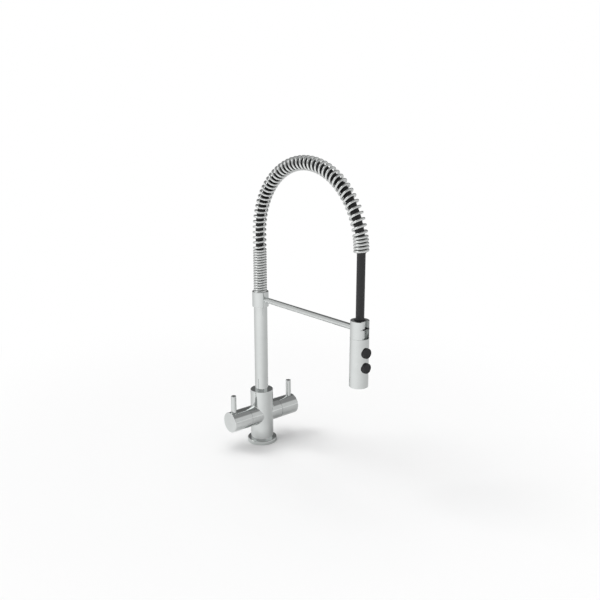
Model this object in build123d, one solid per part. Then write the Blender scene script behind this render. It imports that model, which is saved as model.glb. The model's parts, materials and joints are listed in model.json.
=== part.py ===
from build123d import *
import math
import os

# Twin-lever kitchen mixer tap with a spring arch and a docked pull-down spray head.
# Millimetres. The origin is the centre of the underside, on the deck. +Z is up,
# the spout and the spray head reach out along -Y, and the handles lie along X.

# ---------------------------------------------------------------- driving sizes
# Body and deck ring
RING_R = 25.0               # deck ring, outer
RING_H = 6.8
RING_ROUND = 2.0            # its upper outer edge
BODY_R = 19.05              # upright of the body
BODY_TOP = 93.0
BODY_FOOT_R = 17.5          # spigot of the body inside the deck ring
JUNCTION_ROUND = 1.2        # cast corner between upright and cross tube
RIM_ROUND = 0.6
SEAL_INNER_R = 20.4         # rubber seal under the deck ring
SEAL_WIDTH = 2.6
SEAL_DEPTH = 1.5

# Ports in the underside
PORT_R = 4.46               # M10 x 1 inlets
PORT_DEPTH = 14.0
PORT_X = 8.5
PORT_Y = -4.0
PASSAGE_R = 3.2
STUD_HOLE_R = 3.4           # M8 fixing stud
STUD_HOLE_DEPTH = 20.0
STUD_HOLE_Y = 9.5

# Handles, lever pins and headworks
HANDLE_Z = 49.7             # height of the handles' common axis
HANDLE_R = 17.1
STUB_END = 31.5             # fixed cross tube ends here
HANDLE_GAP = 0.3            # seam between fixed tube and turning barrel
BARREL_LENGTH = 34.7
BARREL_WALL = 1.6
BARREL_END_WALL = 3.0
BARREL_ROUND = 0.8
LEVER_R = 4.4
LEVER_INSET = 8.4           # lever pin axis, in from the barrel's outer end
LEVER_HEIGHT = 45.0         # its top, above the handle axis
LEVER_ROUND = 1.2
LEVER_SEAT = 5.5            # its shoulder, above the handle axis
LEVER_STUD_R = 2.5
LEVER_STUD_LENGTH = 5.0
BOSS_R = 7.5
BOSS_LENGTH = 23.5
SPINDLE_R = 4.0
SPINDLE_GRIP = 10.5         # length of spindle held in the boss
HANDLE_SCREW_R = 2.0
KEY_HOLE_R = 2.8            # lets the Allen key in from below
HEADWORK_R = 9.5            # quarter-turn ceramic headwork
HEADWORK_BORE_GAP = 0.1
SEAT_HALF = 8.5             # half width of the seat wall between the two headworks
SEAT_HOLE_R = 5.0
SEAT_SEAL_LENGTH = 3.5
SEAT_SEAL_WALL = 2.4
DISC_THICKNESS = 3.0
DISC_GAP = 0.05
CHAMBER_WALL = 2.0
FOOT_LENGTH = 3.9
HEX_LENGTH = 4.0
HEX_R = 12.1
STEM_SEAL_R = 0.5           # cord radius of the spindle's O-ring

# Column and its swivel
COLUMN_R = 11.02
COLUMN_WALL = 1.5
SWIVEL_GAP = 0.08           # running clearance of the column in the body
SOCKET_DEPTH = 30.0
RISER_R = 6.0
BUSH_LENGTH = 6.9
BUSH_WALL = 1.5
THRUST_GAP = 0.1
SPIGOT_LENGTH = 18.0        # above the swivel bush
SPIGOT_TONGUE = 8.0         # inside the column tube
SPIGOT_SEAL_R = 1.0         # cord radius of its O-rings
SPIGOT_SEAL_START = 3.5     # lower O-ring, above the swivel bush
SPIGOT_SEAL_PITCH = 5.0
SPIGOT_SEAL_COUNT = 2
LOCK_GROOVE = 3.6
LOCK_GROOVE_DEPTH = 1.5
LOCK_SCREW_R = 2.45

# Collar, arm and holder
ARM_Z = 250.7
ARM_R = 4.4
ARM_TENON_R = 2.5
REACH = 230.5               # from the column's axis to the spray head's axis
COLLAR_R = 13.46
COLLAR_BELOW_ARM = 13.1
COLLAR_H = 25.2
SPRING_POCKET = 11.8        # depth of the spring's seat in the collar's top
COLLAR_SCREW_R = 1.95
HOLDER_R = 13.6
HOLDER_WALL = 4.7
HOLDER_BELOW_ARM = 12.1
HOLDER_H = 25.4
HOLDER_SLOT = 13.0          # lets the hose out sideways
EDGE_ROUND = 0.4
SEAM_ROUND = 0.2            # where head and holder meet, and at the holder's top

# Hose and spring arch
ARCH_RISE = 97.7            # straight rise from the collar's top to the arch's centre
HOSE_R = 6.1
HOSE_BORE_R = 4.1
WIRE_R = 1.82
COIL_R = 9.3                # to the middle of the wire
TIGHT_RISE = 70.1           # closely wound length above the collar
TIGHT_RISE_PITCH = 4.21
OPEN_PITCH = 8.42
TIGHT_END = 23.0            # closely wound length at the free end
TIGHT_END_PITCH = 4.45
SPRING_SHORT = 0.6          # its free end, back from the end of the arch
SPRING_START = 0.19         # where its wire starts, in turns from the +X side
CONNECTOR_LENGTH = 13.0
NIPPLE_LENGTH = 17.0
WATERWAY_R = 2.8
FERRULE_WALL = 0.95
FERRULE_LENGTH = 14.0
END_BUSH_DEGREES = 4.0      # how far the bush in the spring's free end reaches up the arch

# Spray head
DOCK_GAP = 0.15             # between the head's shoulder and the holder
HEAD_R = 13.8
HEAD_WALL = 1.5
HEAD_LENGTH = 72.9
HEAD_ROUND = 0.6
HEAD_TOP_WALL = 2.0
HEAD_LIP = 2.0
HEAD_LIP_WIDTH = 0.7
NECK_GAP = 0.3              # radial, between neck and holder
NECK_DROP = 0.5             # neck's top below the holder's top
NECK_FLANGE = 4.0
NECK_BORE_R = 7.3
NECK_SEAL_R = 0.55          # cord radius
NECK_SEAL_RISE = 1.0        # above the middle of the neck
NECK_SEAL_FIT = 0.05
HOSE_FIT = 0.1
TAIL_R = 6.4
TAIL_LENGTH = 7.4
NECK_BUSH_LENGTH = 7.5
NECK_BUSH_LIP = 1.0         # on the neck's top
NECK_BUSH_LIP_INSET = 0.6   # in from the neck's side
CORE_WATERWAY_R = 3.5
CHECK_VALVE_R = 5.4
CHECK_VALVE_LENGTH = 9.7
FACE_THICKNESS = 4.0
FACE_DROP = 1.0             # the nozzle plate's step down inside the lip
NOZZLE_R = 0.9
NOZZLE_LENGTH = 0.5
NOZZLE_COUNT = 18
AERATOR_R = 7.9
AERATOR_LENGTH = 12.0
AERATOR_RECESS = 0.6
AERATOR_ROWS = ((0.3, 6), (0.55, 12), (0.8, 18))  # share of its radius, number of holes
AERATOR_HOLE_SHARE = 0.1    # a hole's radius, as a share of the aerator's

# Push buttons
BUTTON_R = 7.4
BUTTON_DROP = 20.1          # upper button, below the head's shoulder
BUTTON_SPACING = 22.2
BUTTON_FACE = 17.0          # outer face, from the head's axis
BUTTON_DEPTH = 9.2
BUTTON_TRAVEL = 2.0
BUTTON_CLEARANCE = 1.0      # left behind a pressed button
BUTTON_GAP = 0.3
BUTTON_LIP = 0.8
BUTTON_LIP_THICKNESS = 1.0
BUTTON_FRONT_WALL = 2.5
BUTTON_SKIRT = 1.8
BUTTON_ROUND = 0.8
STEM_R = 2.0
STEM_LENGTH = 15.0
RETURN_WIRE_R = 0.4
RETURN_COIL_R = 3.4
RETURN_TURNS = 6

# Named clearances
FIT = 0.05                  # pieces fixed to each other
LOOSE = 0.3                 # pieces that must not touch
EDGE_TOLERANCE = 0.01       # for finding an edge by its place

# ---------------------------------------------------------------- derived places
BARREL_START = STUB_END + HANDLE_GAP
HANDLE_END = BARREL_START + BARREL_LENGTH
LEVER_X = HANDLE_END - LEVER_INSET
BOSS_START = HANDLE_END - BARREL_END_WALL - BOSS_LENGTH
SPINDLE_END = BOSS_START + SPINDLE_GRIP
HANDLE_SCREW_X = BOSS_START + SPINDLE_GRIP / 2
DISC_START = SEAT_HALF + SEAT_SEAL_LENGTH
MOVING_DISC_START = DISC_START + DISC_THICKNESS + DISC_GAP
FOOT_START = MOVING_DISC_START + DISC_THICKNESS + DISC_GAP
FOOT_END = FOOT_START + FOOT_LENGTH
CHAMBER_R = HEADWORK_R - CHAMBER_WALL
CHAMBER_END = FOOT_END + LOOSE
FOOT_R = CHAMBER_R - LOOSE
DISC_PORT_R = CHAMBER_R / 4
DISC_PORT_Y = CHAMBER_R / 2
LEVER_SEAT_Z = HANDLE_Z + LEVER_SEAT

SOCKET_FLOOR = BODY_TOP - SOCKET_DEPTH
SOCKET_R = COLUMN_R + SWIVEL_GAP
BUSH_TOP = SOCKET_FLOOR + BUSH_LENGTH
SPIGOT_SHOULDER = BUSH_TOP + THRUST_GAP
COLUMN_BOTTOM = SPIGOT_SHOULDER + SPIGOT_LENGTH
COLUMN_BORE_R = COLUMN_R - COLUMN_WALL
LOCK_Z = COLUMN_BOTTOM - LOCK_GROOVE - FIT
SPIGOT_SEALS_Z = [SPIGOT_SHOULDER + SPIGOT_SEAL_START + SPIGOT_SEAL_PITCH * i for i in range(SPIGOT_SEAL_COUNT)]

COLLAR_BOTTOM = ARM_Z - COLLAR_BELOW_ARM
COLLAR_TOP = COLLAR_BOTTOM + COLLAR_H
COLUMN_TOP = COLLAR_TOP - SPRING_POCKET
POCKET_R = COIL_R + WIRE_R + LOOSE
HOLDER_BOTTOM = ARM_Z - HOLDER_BELOW_ARM
HOLDER_TOP = HOLDER_BOTTOM + HOLDER_H
HOLDER_BORE_R = HOLDER_R - HOLDER_WALL
COLLAR_SCREW_Z = (COLLAR_BOTTOM + COLUMN_TOP) / 2

ARCH_R = REACH / 2
ARCH_Z = COLLAR_TOP + ARCH_RISE
FERRULE_R = HOSE_R + FIT + FERRULE_WALL

HEAD_TOP = HOLDER_BOTTOM - DOCK_GAP
HEAD_BOTTOM = HEAD_TOP - HEAD_LENGTH
HEAD_BORE_R = HEAD_R - HEAD_WALL
NECK_R = HOLDER_BORE_R - NECK_GAP
NECK_TOP = HOLDER_TOP - NECK_DROP
NECK_FLANGE_TOP = HEAD_TOP - HEAD_TOP_WALL
NECK_BOTTOM = NECK_FLANGE_TOP - NECK_FLANGE
NECK_SEAL_Z = (NECK_TOP + HEAD_TOP) / 2 + NECK_SEAL_RISE
NECK_SEAL_MID_R = HOLDER_BORE_R - NECK_SEAL_FIT - NECK_SEAL_R
TAIL_BOTTOM = NECK_BOTTOM + FIT
TAIL_TOP = TAIL_BOTTOM + TAIL_LENGTH
CORE_R = HEAD_BORE_R - LOOSE
CORE_TOP = NECK_BOTTOM - FIT
FACE_LOW = HEAD_BOTTOM + HEAD_LIP
FACE_HIGH = FACE_LOW + FACE_THICKNESS
CORE_BOTTOM = FACE_HIGH + FIT
LIP_R = HEAD_BORE_R - HEAD_LIP_WIDTH
FACE_HOLE_R = AERATOR_R + FIT
AERATOR_LOW = HEAD_BOTTOM + AERATOR_RECESS
BUTTON_ZS = {"upper": HEAD_TOP - BUTTON_DROP, "lower": HEAD_TOP - BUTTON_DROP - BUTTON_SPACING}
BUTTON_BACK = BUTTON_FACE - BUTTON_DEPTH
POCKET_FLOOR = BUTTON_BACK - BUTTON_TRAVEL - BUTTON_CLEARANCE
STEM_BACK = BUTTON_FACE - BUTTON_FRONT_WALL - STEM_LENGTH


# ---------------------------------------------------------------- helpers
def rod(radius, start, end):
    """Round bar between two points."""
    span = Vector(*end) - Vector(*start)
    place = Plane(origin=start, z_dir=span)
    return place * Cylinder(radius, span.length, align=(Align.CENTER, Align.CENTER, Align.MIN))


def upright(radius, low, high, y=0.0, x=0.0):
    """Round bar along Z between two heights."""
    return rod(radius, (x, y, low), (x, y, high))


def pipe(outer, inner, low, high, y=0.0):
    """Round tube along Z between two heights."""
    return upright(outer, low, high, y) - upright(inner, low, high, y)


def across(radius, near, far, side=1):
    """Round bar along the handle axis, between two distances out from the middle."""
    return rod(radius, (side * near, 0, HANDLE_Z), (side * far, 0, HANDLE_Z))


def sleeve(outer, inner, near, far, side=1):
    """Round tube along the handle axis."""
    return across(outer, near, far, side) - across(inner, near, far, side)


def o_ring(middle_r, cord_r, centre, axis):
    """O-ring of a middle radius and a cord radius, about an axis."""
    return Plane(origin=centre, z_dir=axis) * Torus(middle_r, cord_r)


def rounded(part, size, radius, centre):
    """Rounds the circular edges of one radius that have one centre."""
    rims = [
        edge
        for edge in part.edges().filter_by(GeomType.CIRCLE)
        if abs(edge.radius - radius) < EDGE_TOLERANCE
        and (edge.arc_center - Vector(*centre)).length < EDGE_TOLERANCE
    ]
    return fillet(rims, size)


def hex_socket(part, centre, axis, depth, across_flats):
    """Cuts an Allen key socket into a screw's end."""
    key = extrude(Plane(origin=centre, z_dir=axis) * RegularPolygon(across_flats / math.sqrt(3), 6), -depth)
    return part - key


# ---------------------------------------------------------------- coils
def biarc(start, start_tangent, end, end_tangent):
    """Two tangent arcs from one point to another, with given tangents at both ends."""
    chord = end - start
    tangents = start_tangent + end_tangent
    curve = 2 * (1 - start_tangent.dot(end_tangent))
    along = chord.dot(tangents)
    reach = (math.sqrt(along * along + curve * chord.dot(chord)) - along) / curve
    joint = (start + end + (start_tangent - end_tangent) * reach) * 0.5
    first = Edge.make_tangent_arc(start, start_tangent, joint)
    return [first, Edge.make_tangent_arc(joint, first.tangent_at(1), end)]


def coil(name, point_at, turns, wire_r):
    """One unbroken round wire along point_at(turn), in biarcs of half a turn."""
    step = 1e-4
    count = math.ceil(turns * 2)

    def tangent_at(turn):
        return (point_at(turn + step) - point_at(turn - step)).normalized()

    stops = [turns * i / count for i in range(count + 1)]
    edges = []
    for low, high in zip(stops, stops[1:]):
        edges += biarc(point_at(low), tangent_at(low), point_at(high), tangent_at(high))
    path = Wire(edges)
    wire = sweep((Plane(origin=point_at(0), z_dir=tangent_at(0)) * Circle(wire_r)).face(), path=path)
    samples = 24
    points = [point_at(i / samples) for i in range(int(turns * samples) + 1)]
    gaps = [
        (points[i] - points[j]).length
        for i in range(len(points))
        for j in range(i + samples // 2, min(i + samples * 3 // 2, len(points)))
    ]
    print(f"{name}: {turns:.1f} turns, least gap to itself {min(gaps) - 2 * wire_r:.2f} mm,"
          f" tightest arc {min(edge.radius for edge in edges):.2f} mm,"
          f" volume {wire.volume / (path.length * math.pi * wire_r ** 2):.4f} of section times length")
    return wire


def arch_frame(length):
    """Place and outward direction on the arch's centreline, a length on from the collar's top."""
    bend = math.pi * ARCH_R
    if length <= ARCH_RISE:
        return Vector(0, 0, COLLAR_TOP + length), Vector(0, 1, 0)
    if length <= ARCH_RISE + bend:
        angle = (length - ARCH_RISE) / ARCH_R
        outward = Vector(0, math.cos(angle), math.sin(angle))
        return Vector(0, -ARCH_R, ARCH_Z) + outward * ARCH_R, outward
    return Vector(0, -REACH, ARCH_Z - (length - ARCH_RISE - bend)), Vector(0, -1, 0)


def spring_sections():
    """Length and pitch of each stretch of the arch spring, from the column's top."""
    seat = SPRING_POCKET - WIRE_R - FIT
    whole = ARCH_RISE + math.pi * ARCH_R
    return [
        (seat + TIGHT_RISE, TIGHT_RISE_PITCH),
        (whole - SPRING_SHORT - TIGHT_RISE - TIGHT_END, OPEN_PITCH),
        (TIGHT_END, TIGHT_END_PITCH),
    ]


def spring_length(turn):
    """Distance along the arch after a number of turns."""
    length = -(SPRING_POCKET - WIRE_R - FIT)
    sections = spring_sections()
    for stretch, pitch in sections:
        if turn <= stretch / pitch:
            return length + turn * pitch
        turn -= stretch / pitch
        length += stretch
    return length + turn * sections[-1][1]


def spring_point(turn):
    """Point on the arch spring's wire."""
    centre, outward = arch_frame(spring_length(turn))
    angle = 2 * math.pi * (turn + SPRING_START)
    return centre + Vector(1, 0, 0) * (COIL_R * math.cos(angle)) + outward * (COIL_R * math.sin(angle))


# ---------------------------------------------------------------- body and deck ring
def mixer_body():
    """Cast body: upright, cross tube, headwork bores, column socket and ports."""
    body = upright(BODY_R, RING_H, BODY_TOP) + across(HANDLE_R, -STUB_END, STUB_END)
    corners = [e for e in body.edges() if e.geom_type not in (GeomType.CIRCLE, GeomType.LINE)]
    body = fillet(corners, JUNCTION_ROUND)
    body = rounded(body, RIM_ROUND, BODY_R, (0, 0, BODY_TOP))
    body += upright(BODY_FOOT_R, 0, RING_H)
    for side in (-1, 1):
        body -= across(HEADWORK_R + HEADWORK_BORE_GAP, SEAT_HALF, STUB_END, side)
        body -= upright(PORT_R, 0, PORT_DEPTH, PORT_Y, side * PORT_X)
        body -= upright(PASSAGE_R, PORT_DEPTH, HANDLE_Z - HEADWORK_R + PASSAGE_R / 2, PORT_Y, side * PORT_X)
    body -= across(SEAT_HOLE_R, -SEAT_HALF, SEAT_HALF)
    body -= upright(STUD_HOLE_R, 0, STUD_HOLE_DEPTH, STUD_HOLE_Y)
    body -= upright(RISER_R, HANDLE_Z, SOCKET_FLOOR)
    body -= upright(SOCKET_R, SOCKET_FLOOR, BODY_TOP)
    return body - rod(LOCK_SCREW_R + FIT, (0, 0, LOCK_Z), (0, BODY_R, LOCK_Z))


def base_ring():
    """Deck ring that the body's shoulder clamps to the deck."""
    ring = rounded(upright(RING_R, 0, RING_H), RING_ROUND, RING_R, (0, 0, RING_H))
    ring -= upright(BODY_FOOT_R + FIT, 0, RING_H)
    return ring - pipe(SEAL_INNER_R + SEAL_WIDTH, SEAL_INNER_R, 0, SEAL_DEPTH)


def base_seal():
    """Rubber seal in the deck ring's underside."""
    return pipe(SEAL_INNER_R + SEAL_WIDTH - FIT, SEAL_INNER_R + FIT, 0, SEAL_DEPTH - FIT)


def swivel_bush():
    """Plastic bearing of the column in the body's socket."""
    return pipe(SOCKET_R - FIT, SOCKET_R - FIT - BUSH_WALL, SOCKET_FLOOR, BUSH_TOP)


def column_lock_screw():
    """Grub screw whose dog point runs in the spigot's groove."""
    tip = COLUMN_R - LOCK_GROOVE_DEPTH + LOOSE
    start = SOCKET_R + LOOSE
    end = BODY_R - 2 * RIM_ROUND
    screw = rod(LOCK_SCREW_R, (0, start, LOCK_Z), (0, end, LOCK_Z))
    screw += rod(LOCK_GROOVE / 2 - LOOSE, (0, tip, LOCK_Z), (0, start, LOCK_Z))
    return hex_socket(screw, (0, end, LOCK_Z), (0, 1, 0), LOCK_SCREW_R, LOCK_SCREW_R)


# ---------------------------------------------------------------- headworks
def cartridge_body(side):
    """Brass headwork body with its hexagon seated on the end of the cross tube."""
    body = sleeve(HEADWORK_R, CHAMBER_R, DISC_START, CHAMBER_END, side)
    body += across(HEADWORK_R, CHAMBER_END, STUB_END, side)
    hexagon = Plane(origin=(side * STUB_END, 0, HANDLE_Z), z_dir=(side, 0, 0)) * RegularPolygon(HEX_R, 6)
    body += extrude(hexagon, HEX_LENGTH)
    body -= across(SPINDLE_R + FIT, CHAMBER_END, STUB_END + HEX_LENGTH, side)
    window = Pos(side * (FOOT_START + FOOT_END) / 2, 0, HANDLE_Z) * Box(FOOT_LENGTH / 2, CHAMBER_R, 3 * HEADWORK_R)
    return body - window


def cartridge_seal(side):
    """Rubber seal between the seat wall and the fixed disc."""
    return sleeve(CHAMBER_R - FIT, CHAMBER_R - FIT - SEAT_SEAL_WALL, SEAT_HALF, DISC_START, side)


def fixed_disc(side):
    """Ceramic disc that stays, with its two ports."""
    disc = across(CHAMBER_R - FIT, DISC_START, DISC_START + DISC_THICKNESS, side)
    for y in (-1, 1):
        near = (side * DISC_START, y * DISC_PORT_Y, HANDLE_Z)
        far = (side * (DISC_START + DISC_THICKNESS), y * DISC_PORT_Y, HANDLE_Z)
        disc -= rod(DISC_PORT_R, near, far)
    return disc


def moving_disc(side):
    """Ceramic disc that turns with the spindle and opens the ports."""
    near, far = MOVING_DISC_START, MOVING_DISC_START + DISC_THICKNESS
    disc = across(FOOT_R, near, far, side)
    for z in (-1, 1):
        height = HANDLE_Z + z * FOOT_R
        disc -= rod(FOOT_R / 2, (side * near, 0, height), (side * far, 0, height))
    return disc


def spindle(side):
    """Headwork spindle with its drive foot and seal groove."""
    part = across(FOOT_R, FOOT_START, FOOT_END, side) + across(SPINDLE_R, FOOT_END, SPINDLE_END, side)
    middle = (CHAMBER_END + STUB_END) / 2
    half = STEM_SEAL_R + FIT
    return part - sleeve(SPINDLE_R + FIT, SPINDLE_R - 2 * STEM_SEAL_R - FIT, middle - half, middle + half, side)


def spindle_seal(side):
    """O-ring on the spindle."""
    middle = (CHAMBER_END + STUB_END) / 2
    return o_ring(SPINDLE_R - STEM_SEAL_R, STEM_SEAL_R, (side * middle, 0, HANDLE_Z), (1, 0, 0))


# ---------------------------------------------------------------- handles
def handle_barrel(side):
    """Turning cup of a handle, with the boss that grips the spindle and the lever pin."""
    end = (side * HANDLE_END, 0, HANDLE_Z)
    barrel = rounded(across(HANDLE_R, BARREL_START, HANDLE_END, side), BARREL_ROUND, HANDLE_R, end)
    barrel -= across(HANDLE_R - BARREL_WALL, BARREL_START, HANDLE_END - BARREL_END_WALL, side)
    barrel += across(BOSS_R, BOSS_START, HANDLE_END - BARREL_END_WALL, side)
    barrel -= across(SPINDLE_R + FIT, BOSS_START, SPINDLE_END + FIT, side)
    barrel -= upright(LEVER_R + FIT, LEVER_SEAT_Z, HANDLE_Z + HANDLE_R, 0, side * LEVER_X)
    barrel -= upright(LEVER_STUD_R + FIT, LEVER_SEAT_Z - LEVER_STUD_LENGTH - FIT, LEVER_SEAT_Z, 0, side * LEVER_X)
    barrel -= upright(HANDLE_SCREW_R + FIT, HANDLE_Z - BOSS_R, HANDLE_Z, 0, side * HANDLE_SCREW_X)
    access = upright(KEY_HOLE_R, HANDLE_Z - HANDLE_R, HANDLE_Z - BOSS_R, 0, side * HANDLE_SCREW_X)
    return barrel - access


def lever_pin(side):
    """Upright lever pin, shouldered on the boss and screwed into it."""
    x = side * LEVER_X
    top = HANDLE_Z + LEVER_HEIGHT
    pin = rounded(upright(LEVER_R, LEVER_SEAT_Z, top, 0, x), LEVER_ROUND, LEVER_R, (x, 0, top))
    return pin + upright(LEVER_STUD_R, LEVER_SEAT_Z - LEVER_STUD_LENGTH, LEVER_SEAT_Z, 0, x)


def handle_screw(side):
    """Grub screw that clamps the barrel to the spindle, from below."""
    low = HANDLE_Z - BOSS_R
    place = (side * HANDLE_SCREW_X, 0, low)
    screw = upright(HANDLE_SCREW_R, low, HANDLE_Z - SPINDLE_R - FIT, 0, side * HANDLE_SCREW_X)
    return hex_socket(screw, place, (0, 0, -1), HANDLE_SCREW_R, HANDLE_SCREW_R)


# ---------------------------------------------------------------- column
def column_tube():
    """Polished column above the spigot."""
    return pipe(COLUMN_R, COLUMN_BORE_R, COLUMN_BOTTOM, COLUMN_TOP)


def column_spigot():
    """Brass spigot that turns in the body's socket."""
    tail_r = SOCKET_R - 2 * FIT - BUSH_WALL
    spigot = upright(COLUMN_R, SPIGOT_SHOULDER, COLUMN_BOTTOM)
    spigot += upright(tail_r, SOCKET_FLOOR + THRUST_GAP, SPIGOT_SHOULDER)
    spigot += upright(COLUMN_BORE_R - FIT, COLUMN_BOTTOM, COLUMN_BOTTOM + SPIGOT_TONGUE)
    spigot -= upright(RISER_R, SOCKET_FLOOR, COLUMN_BOTTOM + SPIGOT_TONGUE)
    spigot -= pipe(COLUMN_R + FIT, COLUMN_R - LOCK_GROOVE_DEPTH, LOCK_Z - LOCK_GROOVE / 2, LOCK_Z + LOCK_GROOVE / 2)
    half = SPIGOT_SEAL_R + FIT
    for z in SPIGOT_SEALS_Z:
        spigot -= pipe(COLUMN_R + FIT, COLUMN_R - 2 * SPIGOT_SEAL_R, z - half, z + half)
    return spigot


def spigot_seals():
    """The spigot's two O-rings."""
    middle_r = COLUMN_R - SPIGOT_SEAL_R + SWIVEL_GAP / 2
    return Compound([o_ring(middle_r, SPIGOT_SEAL_R, (0, 0, z), (0, 0, 1)).solid() for z in SPIGOT_SEALS_Z])


# ---------------------------------------------------------------- collar, arm, holder
def tenon(start, end):
    """Round bar along the arm's axis."""
    return rod(ARM_TENON_R, (0, start, ARM_Z), (0, end, ARM_Z))


def collar():
    """Collar on the column's top: carries the arm and the spring's foot."""
    part = upright(COLLAR_R, COLLAR_BOTTOM, COLLAR_TOP)
    part = rounded(part, EDGE_ROUND, COLLAR_R, (0, 0, COLLAR_TOP))
    part = rounded(part, EDGE_ROUND, COLLAR_R, (0, 0, COLLAR_BOTTOM))
    part -= upright(COLUMN_R + FIT, COLLAR_BOTTOM, COLUMN_TOP) + upright(POCKET_R, COLUMN_TOP, COLLAR_TOP)
    part -= rod(ARM_TENON_R + FIT, (0, 0, ARM_Z), (0, -COLLAR_R, ARM_Z))
    return part - rod(COLLAR_SCREW_R + FIT, (0, 0, COLLAR_SCREW_Z), (0, COLLAR_R, COLLAR_SCREW_Z))


def collar_screw():
    """Grub screw that locks the collar to the column, at the back."""
    end = COLLAR_R - LOOSE
    screw = rod(COLLAR_SCREW_R, (0, COLUMN_R + FIT, COLLAR_SCREW_Z), (0, end, COLLAR_SCREW_Z))
    return hex_socket(screw, (0, end, COLLAR_SCREW_Z), (0, 1, 0), COLLAR_SCREW_R / 2, COLLAR_SCREW_R)


def arm_rod():
    """Straight arm between collar and holder, saddled and tenoned at both ends."""
    arm = rod(ARM_R, (0, 0, ARM_Z), (0, -REACH, ARM_Z))
    arm -= upright(COLLAR_R + FIT, COLLAR_BOTTOM, COLLAR_TOP)
    arm -= upright(HOLDER_R + FIT, HOLDER_BOTTOM, HOLDER_TOP, -REACH)
    return arm + tenon(-POCKET_R - FIT, HOLDER_BORE_R + FIT - REACH)


def spray_holder():
    """Ring that the spray head's neck docks in, slotted at the front for the hose."""
    part = upright(HOLDER_R, HOLDER_BOTTOM, HOLDER_TOP, -REACH)
    part = rounded(part, SEAM_ROUND, HOLDER_R, (0, -REACH, HOLDER_TOP))
    part = rounded(part, SEAM_ROUND, HOLDER_R, (0, -REACH, HOLDER_BOTTOM))
    part -= upright(HOLDER_BORE_R, HOLDER_BOTTOM, HOLDER_TOP, -REACH)
    slot = Box(HOLDER_SLOT, 2 * HOLDER_R, HOLDER_H)
    part -= Pos(0, -REACH - HOLDER_R, (HOLDER_BOTTOM + HOLDER_TOP) / 2) * slot
    return part - rod(ARM_TENON_R + FIT, (0, -REACH, ARM_Z), (0, 0, ARM_Z))


# ---------------------------------------------------------------- hose and spring
def arch_spring():
    """The spring round the arch: close wound at both ends, open between."""
    turns = sum(stretch / pitch for stretch, pitch in spring_sections())
    return coil("arch_spring", spring_point, turns, WIRE_R)


def arch_hose():
    """Hose inside the spring, from the column's top to the end of the arch."""
    low = COLUMN_TOP + FIT
    rise = Line((0, 0, low), (0, 0, ARCH_Z))
    bend = ThreePointArc((0, 0, ARCH_Z), (0, -ARCH_R, ARCH_Z + ARCH_R), (0, -REACH, ARCH_Z))
    section = Plane(origin=(0, 0, low)) * (Circle(HOSE_R) - Circle(HOSE_BORE_R))
    return sweep(section, path=Wire([rise, bend]))


def drop_hose():
    """Bare hose from the arch down into the spray head's neck."""
    return pipe(HOSE_R, HOSE_BORE_R, TAIL_TOP, ARCH_Z, -REACH)


def hose_connector():
    """Plug in the column's top, with the nipple that the hose is pushed on."""
    part = upright(COLUMN_BORE_R - FIT, COLUMN_TOP - CONNECTOR_LENGTH, COLUMN_TOP)
    part += upright(HOSE_BORE_R - FIT, COLUMN_TOP, COLUMN_TOP + NIPPLE_LENGTH)
    return part - upright(WATERWAY_R, COLUMN_TOP - CONNECTOR_LENGTH, COLUMN_TOP + NIPPLE_LENGTH)


def upper_ferrule():
    """Crimped sleeve on the hose's upper end."""
    low = COLUMN_TOP + FIT
    return pipe(FERRULE_R, HOSE_R + FIT, low, low + FERRULE_LENGTH)


def spring_end_bush():
    """Rubber bush that centres the hose in the spring's free end."""
    angle = math.radians(END_BUSH_DEGREES)
    centre = Vector(0, -ARCH_R, ARCH_Z)

    def on_arch(turn):
        return centre + Vector(0, -math.cos(turn), math.sin(turn)) * ARCH_R

    path = ThreePointArc(on_arch(0), on_arch(angle / 2), on_arch(angle))
    section = Plane(origin=on_arch(0), z_dir=(0, 0, 1)) * (Circle(FERRULE_R) - Circle(HOSE_R + FIT))
    return sweep(section, path=path)


# ---------------------------------------------------------------- spray head
def head_shell():
    """Outer shell of the spray head, with the two button openings."""
    shell = upright(HEAD_R, HEAD_BOTTOM, HEAD_TOP, -REACH)
    shell = rounded(shell, HEAD_ROUND, HEAD_R, (0, -REACH, HEAD_BOTTOM))
    shell = rounded(shell, SEAM_ROUND, HEAD_R, (0, -REACH, HEAD_TOP))
    shell -= upright(LIP_R, HEAD_BOTTOM, FACE_LOW, -REACH)
    shell -= upright(HEAD_BORE_R, FACE_LOW, NECK_FLANGE_TOP, -REACH)
    shell -= upright(NECK_R + FIT, NECK_FLANGE_TOP, HEAD_TOP, -REACH)
    for z in BUTTON_ZS.values():
        shell -= rod(BUTTON_R + BUTTON_GAP, (0, -REACH, z), (0, -REACH - HEAD_R, z))
    return shell


def head_neck():
    """Neck that docks in the holder, flanged under the shell's top."""
    neck = upright(NECK_R, NECK_BOTTOM, NECK_TOP, -REACH)
    neck = rounded(neck, SEAM_ROUND, NECK_R, (0, -REACH, NECK_TOP))
    neck += upright(HEAD_BORE_R - FIT, NECK_BOTTOM, NECK_FLANGE_TOP, -REACH)
    neck -= upright(TAIL_R + FIT, NECK_BOTTOM, TAIL_TOP, -REACH)
    neck -= upright(NECK_BORE_R, TAIL_TOP, NECK_TOP, -REACH)
    half = NECK_SEAL_R + FIT
    floor_r = NECK_SEAL_MID_R - NECK_SEAL_R - FIT
    return neck - pipe(NECK_R + FIT, floor_r, NECK_SEAL_Z - half, NECK_SEAL_Z + half, -REACH)


def neck_seal():
    """O-ring that holds the neck in the holder."""
    return o_ring(NECK_SEAL_MID_R, NECK_SEAL_R, (0, -REACH, NECK_SEAL_Z), (0, 0, 1))


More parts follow.
